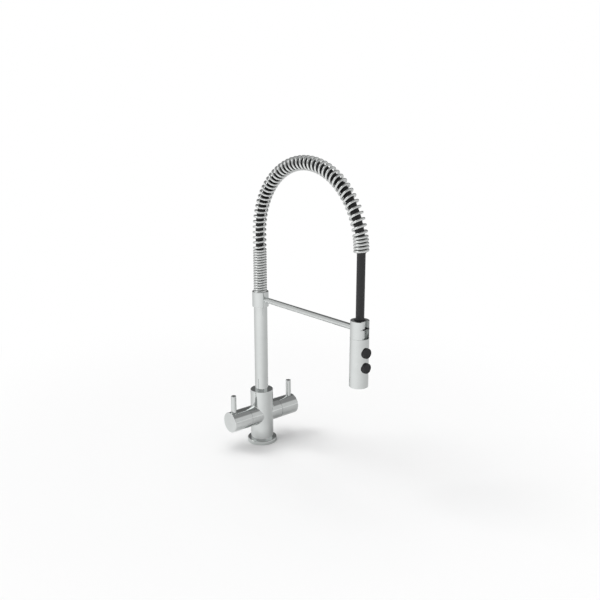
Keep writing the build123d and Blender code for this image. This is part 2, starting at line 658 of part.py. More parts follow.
def hose_tail():
    """Hose end fitting, screwed into the neck."""
    tail = upright(TAIL_R, TAIL_BOTTOM, TAIL_TOP, -REACH)
    tail += upright(HOSE_BORE_R - HOSE_FIT, TAIL_TOP, TAIL_TOP + NIPPLE_LENGTH, -REACH)
    return tail - upright(WATERWAY_R, TAIL_BOTTOM, TAIL_TOP + NIPPLE_LENGTH, -REACH)


def lower_ferrule():
    """Crimped sleeve on the hose's lower end."""
    return pipe(HOSE_R + HOSE_FIT + FERRULE_WALL, HOSE_R + HOSE_FIT, TAIL_TOP, TAIL_TOP + FERRULE_LENGTH, -REACH)


def neck_bush():
    """Rubber bush round the hose in the neck's mouth, with a lip on the neck's top."""
    bush = pipe(NECK_BORE_R - FIT, HOSE_R + HOSE_FIT, NECK_TOP - NECK_BUSH_LENGTH, NECK_TOP + FIT, -REACH)
    lip_low = NECK_TOP + FIT
    return bush + pipe(NECK_R - NECK_BUSH_LIP_INSET, HOSE_R + HOSE_FIT, lip_low, lip_low + NECK_BUSH_LIP, -REACH)


def valve_block():
    """Valve block in the shell: waterways, stem guides and the aerator's seat."""
    block = upright(CORE_R, CORE_BOTTOM, CORE_TOP, -REACH)
    block -= upright(CHECK_VALVE_R + FIT, CORE_TOP - CHECK_VALVE_LENGTH, CORE_TOP, -REACH)
    block -= upright(CORE_WATERWAY_R, CORE_BOTTOM, CORE_TOP, -REACH)
    block -= upright(FACE_HOLE_R, CORE_BOTTOM, AERATOR_LOW + AERATOR_LENGTH + FIT, -REACH)
    margin = BUTTON_R + BUTTON_LIP + 2 * BUTTON_GAP
    low, high = BUTTON_ZS["lower"] - margin, BUTTON_ZS["upper"] + margin
    pocket = Pos(0, -REACH - POCKET_FLOOR - CORE_R / 2, (low + high) / 2) * Box(2 * CORE_R, CORE_R, high - low)
    block -= pocket
    for z in BUTTON_ZS.values():
        bore_end = -REACH - STEM_BACK + BUTTON_TRAVEL + BUTTON_GAP
        block -= rod(STEM_R + BUTTON_GAP, (0, -REACH - CORE_R, z), (0, bore_end, z))
    return block


def check_valve():
    """Non-return valve in the block's inlet."""
    low = CORE_TOP - CHECK_VALVE_LENGTH
    return pipe(CHECK_VALVE_R, WATERWAY_R, low, CORE_TOP, -REACH)


def nozzle_plate():
    """Rubber ring of spray nozzles round the aerator."""
    plate = pipe(HEAD_BORE_R - FIT, FACE_HOLE_R, FACE_LOW, FACE_HIGH, -REACH)
    plate += pipe(LIP_R - FIT, FACE_HOLE_R, FACE_LOW - FACE_DROP, FACE_LOW, -REACH)
    ring_r = (LIP_R + AERATOR_R) / 2
    tip = FACE_LOW - FACE_DROP - NOZZLE_LENGTH
    for place in PolarLocations(ring_r, NOZZLE_COUNT):
        x, y = place.position.X, place.position.Y - REACH
        plate += upright(NOZZLE_R, tip, FACE_LOW, y, x)
        plate -= upright(NOZZLE_R / 2, tip, FACE_HIGH, y, x)
    return plate


def aerator():
    """Aerator insert in the middle of the head's face."""
    part = upright(AERATOR_R, AERATOR_LOW, AERATOR_LOW + AERATOR_LENGTH, -REACH)
    hole_r = AERATOR_HOLE_SHARE * AERATOR_R
    for share, count in AERATOR_ROWS:
        for place in PolarLocations(share * AERATOR_R, count):
            x, y = place.position.X, place.position.Y - REACH
            part -= upright(hole_r, AERATOR_LOW, AERATOR_LOW + AERATOR_LENGTH, y, x)
    return part


# ---------------------------------------------------------------- push buttons
def front(radius, near, far, z):
    """Round bar along a button's axis, between two distances from the head's axis."""
    return rod(radius, (0, -REACH - near, z), (0, -REACH - far, z))


def button_cap(z):
    """Rubber-faced cap, kept in the shell by its lip."""
    cap = front(BUTTON_R, BUTTON_BACK, BUTTON_FACE, z)
    cap = rounded(cap, BUTTON_ROUND, BUTTON_R, (0, -REACH - BUTTON_FACE, z))
    cap += front(BUTTON_R + BUTTON_LIP, BUTTON_BACK, BUTTON_BACK + BUTTON_LIP_THICKNESS, z)
    return cap - front(BUTTON_R - BUTTON_SKIRT, BUTTON_BACK, BUTTON_FACE - BUTTON_FRONT_WALL, z)


def button_stem(z):
    """Stem that the cap pushes into the valve block."""
    return front(STEM_R, STEM_BACK, BUTTON_FACE - BUTTON_FRONT_WALL, z)


def button_spring(z):
    """Return spring between the cap and the valve block."""
    start = BUTTON_FACE - BUTTON_FRONT_WALL - RETURN_WIRE_R - FIT
    end = POCKET_FLOOR + RETURN_WIRE_R + FIT

    def point_at(turn):
        angle = 2 * math.pi * turn
        along = start + (end - start) * turn / RETURN_TURNS
        return Vector(RETURN_COIL_R * math.cos(angle), -REACH - along, z + RETURN_COIL_R * math.sin(angle))

    return coil("button_spring", point_at, RETURN_TURNS, RETURN_WIRE_R)


# ---------------------------------------------------------------- writing the nodes
def nodes():
    """Every node's name and solid."""
    parts = {
        "mixer_body": mixer_body(),
        "base_ring": base_ring(),
        "base_seal": base_seal(),
        "swivel_bush": swivel_bush(),
        "column_lock_screw": column_lock_screw(),
        "column_tube": column_tube(),
        "column_spigot": column_spigot(),
        "spigot_seals": spigot_seals(),
        "collar": collar(),
        "collar_screw": collar_screw(),
        "arm_rod": arm_rod(),
        "spray_holder": spray_holder(),
        "arch_spring": arch_spring(),
        "arch_hose": arch_hose(),
        "drop_hose": drop_hose(),
        "hose_connector": hose_connector(),
        "upper_ferrule": upper_ferrule(),
        "spring_end_bush": spring_end_bush(),
        "head_shell": head_shell(),
        "head_neck": head_neck(),
        "neck_seal": neck_seal(),
        "hose_tail": hose_tail(),
        "lower_ferrule": lower_ferrule(),
        "neck_bush": neck_bush(),
        "valve_block": valve_block(),
        "check_valve": check_valve(),
        "nozzle_plate": nozzle_plate(),
        "aerator": aerator(),
    }
    for name, side in (("left", -1), ("right", 1)):
        parts[f"{name}_cartridge_body"] = cartridge_body(side)
        parts[f"{name}_cartridge_seal"] = cartridge_seal(side)
        parts[f"{name}_fixed_disc"] = fixed_disc(side)
        parts[f"{name}_moving_disc"] = moving_disc(side)
        parts[f"{name}_spindle"] = spindle(side)
        parts[f"{name}_spindle_seal"] = spindle_seal(side)
        parts[f"{name}_handle_barrel"] = handle_barrel(side)
        parts[f"{name}_lever_pin"] = lever_pin(side)
        parts[f"{name}_handle_screw"] = handle_screw(side)
    for name, z in BUTTON_ZS.items():
        parts[f"{name}_button_cap"] = button_cap(z)
        parts[f"{name}_button_stem"] = button_stem(z)
        parts[f"{name}_button_spring"] = button_spring(z)
    return parts


os.makedirs("parts", exist_ok=True)
for node, solid in nodes().items():
    export_step(solid, f"parts/{node}.step")
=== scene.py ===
"""Looks of a twin-lever kitchen mixer tap with a spring arch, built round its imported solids."""

from __future__ import annotations

import json
import logging
import math
from dataclasses import dataclass, field, replace
from enum import Enum
from typing import Any, Callable, Iterable, Sequence

import bmesh
import bpy
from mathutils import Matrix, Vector

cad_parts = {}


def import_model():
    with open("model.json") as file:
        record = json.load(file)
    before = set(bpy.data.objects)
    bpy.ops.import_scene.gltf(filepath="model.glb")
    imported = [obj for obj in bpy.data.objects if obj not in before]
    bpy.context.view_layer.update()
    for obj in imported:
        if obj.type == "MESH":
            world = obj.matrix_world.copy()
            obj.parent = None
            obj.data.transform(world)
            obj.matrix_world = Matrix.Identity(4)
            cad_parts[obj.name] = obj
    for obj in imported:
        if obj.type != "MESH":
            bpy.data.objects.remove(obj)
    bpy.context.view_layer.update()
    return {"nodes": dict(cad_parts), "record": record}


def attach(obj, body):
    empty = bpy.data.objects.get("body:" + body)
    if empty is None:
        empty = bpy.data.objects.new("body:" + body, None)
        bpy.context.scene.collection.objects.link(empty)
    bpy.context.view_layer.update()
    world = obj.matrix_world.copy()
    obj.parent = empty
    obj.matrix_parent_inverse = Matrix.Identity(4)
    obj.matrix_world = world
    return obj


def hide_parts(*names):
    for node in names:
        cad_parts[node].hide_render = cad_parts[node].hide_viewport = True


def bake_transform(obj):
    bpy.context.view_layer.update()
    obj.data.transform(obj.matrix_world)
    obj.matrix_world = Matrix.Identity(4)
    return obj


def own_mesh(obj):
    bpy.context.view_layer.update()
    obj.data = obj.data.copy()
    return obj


LOG = logging.getLogger("tap")
MM = 0.001
# The spray head's axis is this far in front of the column's, in millimetres.
REACH = 230.5
# Faces that meet at more than this are shaded as a hard edge.
SHARP = math.radians(50)
# How far a finish's colour goes lighter and darker in its patches.
TONE_SPREAD = 0.06
# Where most of a noise texture's values lie.
NOISE_LOW, NOISE_HIGH = 0.3, 0.7
# Radians that a wave texture turns through in one unit of its scaled place.
WAVE_RADIANS = 20
Point = tuple[float, float, float]
Piece = bpy.types.Object
Tree = bpy.types.NodeTree
Socket = bpy.types.NodeSocket
Node = bpy.types.Node


class Body(Enum):
    """The rigid bodies that the pieces ride on."""

    BASE = "base"
    LEFT_HANDLE = "left_handle"
    RIGHT_HANDLE = "right_handle"
    SPOUT = "spout"
    HEAD = "spray_head"
    UPPER_BUTTON = "upper_button"
    LOWER_BUTTON = "lower_button"


class Side(Enum):
    """The two sides of the holder's slot, as directions along X."""

    LEFT = -1
    RIGHT = 1


# ------------------------------------------------------------------ small tools
def linear(hex_colour: str) -> tuple[float, float, float, float]:
    """Turns an sRGB hex colour to linear RGBA.

    Args:
        hex_colour: six hex digits.

    Returns:
        Linear red, green, blue and an alpha of 1.
    """
    parts = [int(hex_colour[i : i + 2], 16) / 255 for i in (0, 2, 4)]
    red, green, blue = (c / 12.92 if c <= 0.04045 else ((c + 0.055) / 1.055) ** 2.4 for c in parts)
    return red, green, blue, 1.0


def add_node(tree: Tree, kind: str, inputs: dict[Any, Any] | None = None, **settings: Any) -> Node:
    """Adds a node to a tree.

    Args:
        tree: the tree.
        kind: the node's type name.
        inputs: by input name or number, a value to set or a socket to link from.
        **settings: the node's own properties.

    Returns:
        The new node.
    """
    node = tree.nodes.new(kind)
    for name, value in settings.items():
        setattr(node, name, value)
    for key, value in (inputs or {}).items():
        if isinstance(value, Socket):
            tree.links.new(value, node.inputs[key])
        else:
            node.inputs[key].default_value = value
    return node


def cleared(holder: bpy.types.Material | bpy.types.World) -> Tree:
    """Gives a material or world an empty tree of nodes."""
    holder.use_nodes = True
    holder.node_tree.nodes.clear()
    return holder.node_tree


def new_object(name: str, mesh: bpy.types.Mesh) -> Piece:
    """Puts a mesh in the scene as an object at the origin."""
    thing = bpy.data.objects.new(name, mesh)
    bpy.context.scene.collection.objects.link(thing)
    return thing


def formed(name: str, form: bmesh.types.BMesh, smooth: bool = True) -> Piece:
    """Puts a form in the scene as an object.

    Args:
        name: the object's name.
        form: the form, which is freed.
        smooth: whether it is shaded smooth between its hard edges.

    Returns:
        The object.
    """
    mesh = bpy.data.meshes.new(name)
    form.to_mesh(mesh)
    form.free()
    if smooth:
        mesh.shade_smooth()
        mesh.set_sharp_from_angle(angle=SHARP)
    return new_object(name, mesh)


def join_rings(
    form: bmesh.types.BMesh, low: Sequence[bmesh.types.BMVert], high: Sequence[bmesh.types.BMVert]
) -> None:
    """Joins two rings of points, or a ring and a single point, with faces.

    Args:
        form: the form that they are in.
        low: one ring.
        high: the other.
    """
    sides = max(len(low), len(high))
    for k in range(sides):
        nxt = (k + 1) % sides
        corners = (low[k % len(low)], low[nxt % len(low)], high[nxt % len(high)], high[k % len(high)])
        form.faces.new(tuple(dict.fromkeys(corners)))


def bake(thing: Piece) -> None:
    """Gives an object the mesh that its modifiers make, and drops them."""
    bpy.context.view_layer.update()
    evaluated = thing.evaluated_get(bpy.context.evaluated_depsgraph_get())
    mesh = bpy.data.meshes.new_from_object(evaluated)
    mesh.name = thing.name
    thing.modifiers.clear()
    thing.data = mesh


def geometry_tree(name: str, kinds: dict[str, str]) -> tuple[Tree, Any]:
    """Starts a tree that takes a geometry and named inputs, and gives a geometry.

    Args:
        name: the tree's name.
        kinds: the inputs' socket types by name.

    Returns:
        The tree, and the sockets of its inputs.
    """
    tree = bpy.data.node_groups.new(name, "GeometryNodeTree")
    tree.interface.new_socket("Geometry", in_out="OUTPUT", socket_type="NodeSocketGeometry")
    for title, kind in {"Geometry": "Geometry", **kinds}.items():
        tree.interface.new_socket(title, in_out="INPUT", socket_type=f"NodeSocket{kind}")
    return tree, add_node(tree, "NodeGroupInput").outputs


def run_tree(thing: Piece, tree: Tree, values: dict[str, Any]) -> None:
    """Runs a geometry tree on an object and keeps what it makes as the object's mesh.

    Args:
        thing: the object.
        tree: the tree.
        values: the values of its inputs by name.
    """
    made = thing.modifiers.new(tree.name, "NODES")
    made.node_group = tree
    for item in tree.interface.items_tree:
        if item.in_out == "INPUT" and item.name in values:
            made[item.identifier] = values[item.name]
    bake(thing)


# ------------------------------------------------------------------ finishes
@dataclass(frozen=True)
class Finish:
    """A surface finish: its colour, its gloss and the grain that breaks both up."""

    name: str
    colour: str
    metallic: float = 0.0
    roughness: float = 0.4
    spread: float = 0.05
    patch_mm: float = 9.0
    grain_mm: float = 0.0
    grain_depth_mm: float = 0.0
    ior: float = 1.5

    def material(self) -> bpy.types.Material:
        """The finish's material, made on first use."""
        made = bpy.data.materials.get(self.name)
        if made is None:
            made = bpy.data.materials.new(self.name)
            self.build(cleared(made))
            made.diffuse_color = linear(self.colour)
        return made

    def build(self, tree: Tree) -> None:
        """Builds the shader: gloss that varies in soft patches, and a fine bump.

        Args:
            tree: the material's empty node tree.
        """
        place = add_node(tree, "ShaderNodeTexCoord").outputs["Object"]
        patches = add_node(
            tree, "ShaderNodeTexNoise", {"Vector": place, "Scale": 1 / (self.patch_mm * MM), "Detail": 3.0}
        )
        gloss = add_node(
            tree,
            "ShaderNodeMapRange",
            {
                "Value": patches.outputs["Fac"],
                "From Min": NOISE_LOW,
                "From Max": NOISE_HIGH,
                "To Min": max(0.0, self.roughness - self.spread),
                "To Max": self.roughness + self.spread,
            },
        )
        shader = add_node(
            tree,
            "ShaderNodeBsdfPrincipled",
            {
                "Base Color": self.tone(tree, patches),
                "Metallic": self.metallic,
                "Roughness": gloss.outputs["Result"],
            },
        )
        if not self.metallic:
            shader.inputs["IOR"].default_value = self.ior
        height = self.relief(tree, place)
        if height is not None:
            bump = add_node(
                tree,
                "ShaderNodeBump",
                {"Height": height, "Strength": 1.0, "Distance": self.grain_depth_mm * MM},
            )
            tree.links.new(bump.outputs["Normal"], shader.inputs["Normal"])
        add_node(tree, "ShaderNodeOutputMaterial", {"Surface": shader.outputs["BSDF"]})

    def tone(self, tree: Tree, patches: Node) -> Socket:
        """The colour, a touch lighter and darker in patches.

        Args:
            tree: the material's tree.
            patches: the noise that the gloss varies with.

        Returns:
            The socket of the colour.
        """
        plain_tone = linear(self.colour)[:3]
        darker = (*(c * (1 - TONE_SPREAD) for c in plain_tone), 1.0)
        lighter = (*(min(1.0, c * (1 + TONE_SPREAD)) for c in plain_tone), 1.0)
        # The node's colour sockets share their names with others, so they go by number.
        mixed = add_node(
            tree,
            "ShaderNodeMix",
            {"Factor": patches.outputs["Fac"], 6: darker, 7: lighter},
            data_type="RGBA",
        )
        return mixed.outputs[2]

    def relief(self, tree: Tree, place: Socket) -> Socket | None:
        """The height of the fine grain, or none.

        Args:
            tree: the material's tree.
            place: the socket of the object's coordinates.

        Returns:
            The socket of the height, or None where the finish has no grain.
        """
        if not self.grain_mm:
            return None
        return add_node(
            tree, "ShaderNodeTexNoise", {"Vector": place, "Scale": 1 / (self.grain_mm * MM), "Detail": 2.0}
        ).outputs["Fac"]


@dataclass(frozen=True)
class TurnedMetal(Finish):
    """Metal left as the lathe cut it: fine rings across the turning axis."""

    axis: str = "Z"

    def relief(self, tree: Tree, place: Socket) -> Socket | None:
        """The height of the turning rings, which lie 2 pi grains apart: finer ones would not show."""
        return add_node(
            tree,
            "ShaderNodeTexWave",
            {"Vector": place, "Scale": 1 / (self.grain_mm * MM * WAVE_RADIANS), "Distortion": 0.4},
            wave_type="BANDS",
            bands_direction=self.axis,
        ).outputs["Fac"]


# Nickel-chrome plate over polished brass: a mirror, cool and a little dark, with faint wiping haze.
CHROME = Finish(
    "polished_chrome_plate", "D9DCDB", metallic=1.0, roughness=0.05, spread=0.015, patch_mm=14.0
)
# Drawn spring steel, chrome plated after coiling: brighter and a little softer than the castings.
SPRING = Finish("chromed_spring_steel", "E2E4E3", metallic=1.0, roughness=0.17, spread=0.03, patch_mm=3.0)
# Extruded EPDM hose: satin black with a fine matt skin.
HOSE = Finish(
    "epdm_rubber_hose", "232325", roughness=0.5, spread=0.06, patch_mm=6.0, grain_mm=0.5,
    grain_depth_mm=0.02,
)
# The same hose where the spring covers it, painted darker as the shade that the wire round it casts.
HOSE_SHADED_IN_SPRING = replace(HOSE, name="epdm_hose_painted_shade_in_spring", colour="141415", roughness=0.46)
# Satin nickel inside the holder, where plating takes no polish; its darker colour is painted shade in the
# bore and slot.
SATIN_WITH_SHADE = Finish("satin_plate_with_shade_in_bore", "CDCFCE", metallic=1.0, roughness=0.3, spread=0.05, patch_mm=4.0)
# Moulded silicone button: matt black, eroded mould texture.
BUTTON = Finish(
    "moulded_silicone_button", "1F1F21", roughness=0.62, spread=0.06, patch_mm=2.5, grain_mm=0.3,
    grain_depth_mm=0.03,
)
# Moulded nitrile rubber of seals and bushes: plain black, slightly shiny.
SEAL = Finish(
    "moulded_nitrile_seal", "131314", roughness=0.42, spread=0.05, patch_mm=3.0, grain_mm=0.25,
    grain_depth_mm=0.01,
)
# Silicone nozzle plate: dark grey, soft sheen.
NOZZLES = Finish(
    "silicone_nozzle_plate", "3B3C3E", roughness=0.5, spread=0.05, patch_mm=3.0, grain_mm=0.25,
    grain_depth_mm=0.01,
)
# Free-machining brass, as turned.
BRASS = TurnedMetal(
    "turned_brass", "C9A866", metallic=1.0, roughness=0.24, spread=0.05, patch_mm=5.0, grain_mm=0.25,
    grain_depth_mm=0.004,
)
# Stainless set screws, as turned.
STEEL = TurnedMetal(
    "turned_stainless_steel", "BDBDBA", metallic=1.0, roughness=0.28, spread=0.05, patch_mm=2.0,
    grain_mm=0.2, grain_depth_mm=0.004, axis="Y",
)
# Lapped alumina ceramic discs: dense white with a fine gloss.
CERAMIC = Finish("lapped_alumina", "E8E4DA", roughness=0.16, spread=0.03, patch_mm=2.0, ior=1.76)
# Moulded acetal bearing: milky white, slightly waxy.
ACETAL = Finish("moulded_acetal", "E4E3DD", roughness=0.34, spread=0.05, patch_mm=4.0, ior=1.48)
# Moulded valve block in glass-filled nylon: dark, slightly rough.
NYLON = Finish(
    "glass_filled_nylon", "36373A", roughness=0.46, spread=0.06, patch_mm=1.5, grain_mm=0.4,
    grain_depth_mm=0.01, ior=1.53,
)

SLOT_FINISHES: dict[str, Finish] = {
    "polished_chrome": CHROME,
    "spring_chrome": SPRING,
    "black_hose": HOSE,
    "black_rubber": SEAL,
    "brass": BRASS,
    "disc_ceramic": CERAMIC,
    "bearing_plastic": ACETAL,
    "stainless_steel": STEEL,
    "button_rubber": BUTTON,
    "nozzle_silicone": NOZZLES,
    "valve_plastic": NYLON,
}


def dress(thing: Piece, slot: str, finish: Finish | None = None) -> None:
    """Gives a piece the finish of a material slot.

    Args:
        thing: the piece.
        slot: the record's name of the slot.
        finish: the finish to use in place of the slot's own, or None.
    """
    thing.data.materials.clear()
    thing.data.materials.append((finish or SLOT_FINISHES[slot]).material())


# ------------------------------------------------------------------ the frame's solids
@dataclass
class Frame:
    """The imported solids, and the finer copies that stand for them."""

    nodes: dict[str, Piece]
    slots: dict[str, str] = field(default_factory=dict)
    edge_mm: float = 0.15
    edge_degrees: float = 40.0
    weld_mm: float = 0.0005
    flat_degrees: float = 0.35

    def refine(self, node: str, body: Body, edge_mm: float | None = None) -> Piece:
        """Stands a cleaned copy with softened edges for a solid.

        Args:
            node: the solid's name.
            body: what it rides on.
            edge_mm: width of the softened edges, or None for the usual one.

        Returns:
            The new piece.
        """
        source = self.nodes[node]
        form = bmesh.new()
        form.from_mesh(source.data)
        bmesh.ops.remove_doubles(form, verts=form.verts, dist=self.weld_mm * MM)
        flat = math.radians(self.flat_degrees)
        bmesh.ops.dissolve_limit(form, angle_limit=flat, verts=form.verts, edges=form.edges)
        piece = formed(f"{node}_skin", form, smooth=False)
        self.soften(piece, self.edge_mm if edge_mm is None else edge_mm)
        dress(piece, self.slots[node])
        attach(piece, body.value)
        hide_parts(node)
        return piece

    def soften(self, piece: Piece, edge_mm: float) -> None:
        """Rounds a piece's hard edges and evens out its shading.

        Args:
            piece: the piece.
            edge_mm: width of the softened edges, 0 for none.
        """
        piece.data.shade_smooth()
        if edge_mm:
            edges = piece.modifiers.new("edges", "BEVEL")
            edges.width = edge_mm * MM
            edges.segments = 2
            edges.limit_method = "ANGLE"
            edges.angle_limit = math.radians(self.edge_degrees)
            edges.use_clamp_overlap = True
            edges.miter_outer = "MITER_ARC"
            bake(piece)
        piece.data.set_sharp_from_angle(angle=SHARP)
        even = piece.modifiers.new("even", "WEIGHTED_NORMAL")
        even.mode = "FACE_AREA"
        even.weight = 100
        even.keep_sharp = True
        bake(piece)

    def dress_rest(self) -> None:
        """Gives every solid that still shows its finish."""
        for node, thing in self.nodes.items():
            if not thing.hide_render:
                finish = SLOT_FINISHES[self.slots[node]].material()
                for place in thing.material_slots:
                    place.material = finish


# ------------------------------------------------------------------ turned pieces
Corner = tuple[float, float, float]


def softened(corners: Sequence[Corner], steps: int = 5, closed: bool = True) -> list[tuple[float, float]]:
    """Rounds the corners of an outline.

    Args:
        corners: radius, height and rounding of each corner, in millimetres.
        steps: points on each rounded corner.
        closed: whether the outline joins up with itself.

    Returns:
        Points of radius and height.
    """
    points: list[tuple[float, float]] = []
    count = len(corners)
    for i, (radius, height, rounding) in enumerate(corners):
        here = Vector((radius, height))
        if rounding <= 0 or (not closed and i in (0, count - 1)):
            points.append((radius, height))
            continue
        before = (Vector(corners[i - 1][:2]) - here).normalized()
        after = (Vector(corners[(i + 1) % count][:2]) - here).normalized()
        middle = here + (before + after) * rounding
        for k in range(steps + 1):
            turn = math.pi / 2 * k / steps
            spot = middle - after * (rounding * math.cos(turn)) - before * (rounding * math.sin(turn))
            points.append((spot.x, spot.y))
    return points


def turned(
    name: str,
    outline: Sequence[tuple[float, float]],
    origin: Point,
    axis: Point,
    sides: int = 96,
    closed: bool = True,
) -> Piece:
    """Turns an outline round an axis.

    Args:
        name: the piece's name.
        outline: points of radius and height along the axis, in millimetres.
        origin: a point on the axis, in millimetres.
        axis: the axis's direction.
        sides: number of facets round it.
        closed: whether the outline is a ring; if not, it starts and ends on the axis.

    Returns:
        The piece, smooth, with its faces outwards.
    """
    place = Vector((0, 0, 1)).rotation_difference(Vector(axis)).to_matrix().to_4x4()
    place.translation = Vector(origin)
    form = bmesh.new()
    rings: list[list[bmesh.types.BMVert]] = []
    for radius, height in outline:
        if radius < 1e-6:
            rings.append([form.verts.new(place @ Vector((0, 0, height)))])
            continue
        rings.append(
            [
                form.verts.new(place @ Vector((radius * math.cos(a), radius * math.sin(a), height)))
                for a in (2 * math.pi * k / sides for k in range(sides))
            ]
        )
    pairs = list(zip(rings, rings[1:]))
    if closed:
        pairs.append((rings[-1], rings[0]))
    for low, high in pairs:
        join_rings(form, low, high)
    bmesh.ops.scale(form, vec=(MM, MM, MM), verts=form.verts)
    bmesh.ops.recalc_face_normals(form, faces=form.faces)
    return formed(name, form)


# ------------------------------------------------------------------ the arch
@dataclass
class Arch:
    """The line that hose and spring follow, from the collar over to the spray head. Millimetres."""

    collar_top: float = 262.8
    rise: float = 97.7
    radius: float = REACH / 2

    @property
    def top(self) -> float:
        """Height of the arch's centre."""
        return self.collar_top + self.rise

    @property
    def whole(self) -> float:
        """Distance along the line from the collar's top to the bend's end."""
        return self.rise + math.pi * self.radius

    def angle(self, length: float) -> float:
        """How far round the bend a distance along the line is, in radians."""
        return min(max((length - self.rise) / self.radius, 0.0), math.pi)

    def at(self, length: float) -> tuple[Vector, Vector]:
        """A point on the line and the direction outwards from the arch.

        Args:
            length: distance on from the collar's top.

        Returns:
            The point and the unit direction.
        """
        angle = self.angle(length)
        rest = length - self.rise - self.radius * angle
        out = Vector((0, math.cos(angle), math.sin(angle)))
        along = Vector((0, -math.sin(angle), math.cos(angle)))
        return Vector((0, -self.radius, self.top)) + out * self.radius + along * rest, out


@dataclass
class HoseLine:
    """The black hose: bent over inside the spring, then bare down into the spray head. Millimetres."""

    arch: Arch
    radius: float = 6.1
    start: float = -11.7
    end_height: float = 250.0
    lean: float = 1.0
    swell: float = 0.3
    swell_over: tuple[float, float] = (20.0, 30.0)
    stretch: tuple[float, float] = (360.0, 270.0)
    sides: int = 40
    step: float = 3.0

    def bend(self, length: float) -> tuple[Vector, Vector, float]:
        """A station inside the spring, where the hose lies against the inner side of the bend.

        Args:
            length: distance on from the collar's top.

        Returns:
            The middle, the direction outwards from the arch and the radius.
        """
        centre, out = self.arch.at(length)
        first, last = self.swell_over
        free = min(max(length / first, 0.0), 1.0) * min(max((self.arch.whole - length) / last, 0.0), 1.0)
        aside = self.lean * math.sin(self.arch.angle(length))
        return centre - out * aside, out, self.radius + self.swell * free

    def tube(self, name: str, stations: Iterable[tuple[Vector, Vector, float]]) -> Piece:
        """A closed tube through stations of a point, an outward direction and a radius.

        Args:
            name: the piece's name.
            stations: points on the hose's middle, with a direction across it and the radius there.

        Returns:
            The piece.
        """
        form = bmesh.new()
        rings = []
        for centre, out, radius in stations:
            across = Vector((1, 0, 0))
            rings.append(
                [
                    form.verts.new((centre + (across * math.cos(a) + out * math.sin(a)) * radius) * MM)
                    for a in (2 * math.pi * k / self.sides for k in range(self.sides))
                ]
            )
        for low, high in zip(rings, rings[1:]):
            join_rings(form, low, high)
        form.faces.new(rings[0])
        form.faces.new(rings[-1])
        bmesh.ops.recalc_face_normals(form, faces=form.faces)
        return formed(name, form)

    def build(self) -> list[Piece]:
        """Makes the bent part, which rides on the spout, and the bare drop down to the head."""
        whole = self.arch.whole
        count = round((whole - self.start) / self.step)
        bent = self.tube(
            "arch_hose_rubber",
            (self.bend(self.start + (whole - self.start) * i / count) for i in range(count + 1)),
        )
        # The bent part is painted darker: painted shade from the spring round it.
        dress(bent, "black_hose", HOSE_SHADED_IN_SPRING)
        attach(bent, Body.SPOUT.value)
        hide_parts("arch_hose")
        drop = self.arch.top - self.end_height
        count = round(drop / self.step)
        bare = self.tube(
            "drop_hose_rubber",
            ((*self.arch.at(whole + drop * i / count), self.radius) for i in range(count + 1)),
        )
        dress(bare, "black_hose")
        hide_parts("drop_hose")
        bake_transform(bare)
        return [bent, bare]


